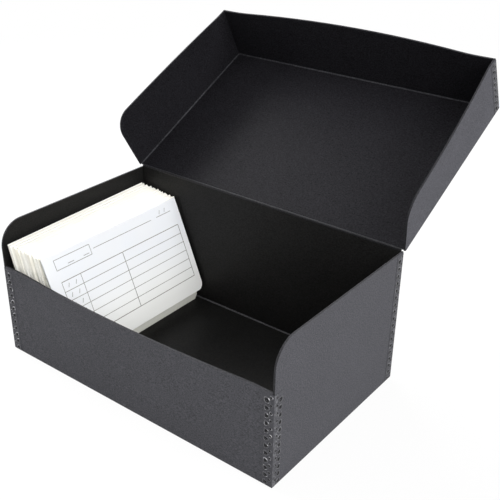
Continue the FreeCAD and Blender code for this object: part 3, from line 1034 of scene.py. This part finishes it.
@dataclass
class EnvelopeFile:
    """The whole row of filed envelopes, from the end wall to the front one."""

    count: int = 24
    bundled: int = 3

    def build(self) -> None:
        """Makes every envelope, and the front one's flap with its form."""
        papers = [PaperFinish((0.955, 0.935, 0.865), (0.94, 0.905, 0.8)).make("envelope_cream"),
                  PaperFinish((0.955, 0.945, 0.9), (0.94, 0.92, 0.85)).make("envelope_ivory")]
        # The front envelope's pocket is toned grey: painted shadow of its splayed flap.
        pocket = PaperFinish((0.6, 0.598, 0.55), (0.61, 0.605, 0.54), 0.02).make("pocket_painted_shadow")
        # The flap's paper warms towards the bottom: painted bounce light.
        white = PaperFinish((0.8, 0.82, 0.855), (0.815, 0.825, 0.845), 0.02, (0.84, 0.843, 0.82)).make(
            "flap_white")
        for number in range(1, self.count + 1):
            body = "rear_bundle" if number <= self.bundled else f"envelope_{number:02d}"
            layer = Layer.WHOLE if number < self.count else Layer.POCKET
            paper = papers[number % 2] if layer is Layer.WHOLE else pocket
            Envelope(number, body, layer).build(paper)
        front = Envelope(self.count, f"envelope_{self.count}", Layer.POCKET)
        front.build_flap(white, InkFinish().make("form_ink"))
        LOG.info("%d envelopes folded", self.count)


# Studio


@dataclass(frozen=True)
class Studio:
    """Camera, lamps and a white floor that only the camera sees at full brightness."""

    eye: tuple[float, float, float] = (412.11, -468.24, 440.10)
    right: tuple[float, float, float] = (0.79194, 0.61047, 0.01294)
    down: tuple[float, float, float] = (0.29212, -0.36017, -0.88597)
    focal_px: float = 840.41
    image_px: float = 500.0

    def camera(self) -> None:
        """Places the camera at the photograph's viewpoint."""
        data = bpy.data.cameras.new("camera")
        data.sensor_width = 36.0
        data.lens = self.focal_px / self.image_px * data.sensor_width
        data.clip_start, data.clip_end = 0.05, 20.0
        camera = bpy.data.objects.new("camera", data)
        bpy.context.scene.collection.objects.link(camera)
        right, down = Vector(self.right).normalized(), Vector(self.down)
        down = (down - right * down.dot(right)).normalized()
        back = -right.cross(down)
        turned = Matrix((right, -down, back)).transposed().to_4x4()
        camera.matrix_world = Matrix.Translation(Vector(self.eye) * MM) @ turned
        bpy.context.scene.camera = camera

    def floor(self) -> None:
        """Lays the floor: white to the camera, with a faint shadow, and grey to other rays."""
        points = np.array([[-9.0, -9.0, -0.0004], [9.0, -9.0, -0.0004],
                           [9.0, 9.0, -0.0004], [-9.0, 9.0, -0.0004]])
        material = bpy.data.materials.new("floor_white")
        material.use_nodes = True
        nodes = Nodes(material.node_tree)
        matte = nodes.add("ShaderNodeBsdfDiffuse", {}, {"Color": (0.5, 0.5, 0.5)})
        glow = nodes.add("ShaderNodeEmission", {}, {"Color": (1.0, 1.0, 1.0)})
        shadow = nodes.add("ShaderNodeBsdfDiffuse", {}, {"Color": (0.95, 0.95, 0.95)})
        place = nodes.add("ShaderNodeTexCoord").outputs["Object"]
        away = nodes.output("ShaderNodeVectorMath", "Value", {"operation": "LENGTH"}, {0: place})
        faint = nodes.add("ShaderNodeMixShader", {}, {
            0: away.ramp(0.35, 1.3, 0.08, 0.0), 1: glow.outputs[0], 2: shadow.outputs[0]})
        mix = nodes.add("ShaderNodeMixShader", {},
                        {0: self.looked_at(nodes), 1: matte.outputs[0], 2: faint.outputs[0]})
        nodes.add("ShaderNodeOutputMaterial", {}, {"Surface": mix.outputs[0]})
        floor = make_piece("floor", points, np.array([[0, 1, 2, 3]]), material, smooth=False)

    def looked_at(self, nodes: Nodes) -> Value:
        """1 for rays from the camera, straight or by way of a glossy or clear surface."""
        rays = nodes.add("ShaderNodeLightPath")
        camera, glossy, clear = (Value(nodes, rays.outputs[f"Is {kind} Ray"])
                                 for kind in ("Camera", "Glossy", "Transmission"))
        return camera.most(glossy).most(clear)

    def world(self, level: float) -> None:
        """Surrounds the scene with an even light, and shows white to the camera."""
        world = bpy.data.worlds.new("studio")
        bpy.context.scene.world = world
        world.use_nodes = True
        nodes = Nodes(world.node_tree)
        strength = level + self.looked_at(nodes) * (1.0 - level)
        backdrop = nodes.add("ShaderNodeBackground", {},
                             {"Color": (1.0, 1.0, 1.0), "Strength": strength})
        nodes.add("ShaderNodeOutputWorld", {}, {"Surface": backdrop.outputs[0]})

    def lamp(self, name: str, place: tuple[float, float, float], size: float, power: float) -> None:
        """Hangs one square soft lamp that looks at the box."""
        data = bpy.data.lights.new(name, "AREA")
        data.size = size
        data.energy = power
        lamp = bpy.data.objects.new(name, data)
        bpy.context.scene.collection.objects.link(lamp)
        lamp.location = place
        toward = Vector((0.0, 0.0, 0.1)) - Vector(place)
        lamp.rotation_euler = toward.to_track_quat("-Z", "Y").to_euler()

    def build(self) -> None:
        """Sets up the whole studio."""
        self.camera()
        self.floor()
        self.world(0.0)
        self.lamp("right_front", (2.27, -1.11, 1.53), 1.5, 55.5)
        self.lamp("right_back", (2.41, 0.21, 1.7), 1.5, 52.0)
        self.lamp("front", (0.32, -2.61, 1.33), 1.5, 12.5)
        self.lamp("front_left", (-1.07, -1.53, 2.32), 1.5, 14.5)
        self.lamp("left", (-2.43, -0.0, 1.68), 1.5, 93.2)
        self.lamp("left_back", (-2.18, 1.26, 1.55), 1.5, 90.9)
        view = bpy.context.scene.view_settings
        view.view_transform = "Standard"
        LOG.info("studio ready")


def main() -> None:
    """Builds the scene, piece by piece."""
    logging.basicConfig(level=logging.INFO, format="%(name)s: %(message)s")
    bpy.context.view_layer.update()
    sizes = BoxSizes()
    Studio().build()
    Boards(sizes).dress()
    MetalEdges(sizes).build()
    EnvelopeFile().build()


if __name__ == "__main__":
    main()
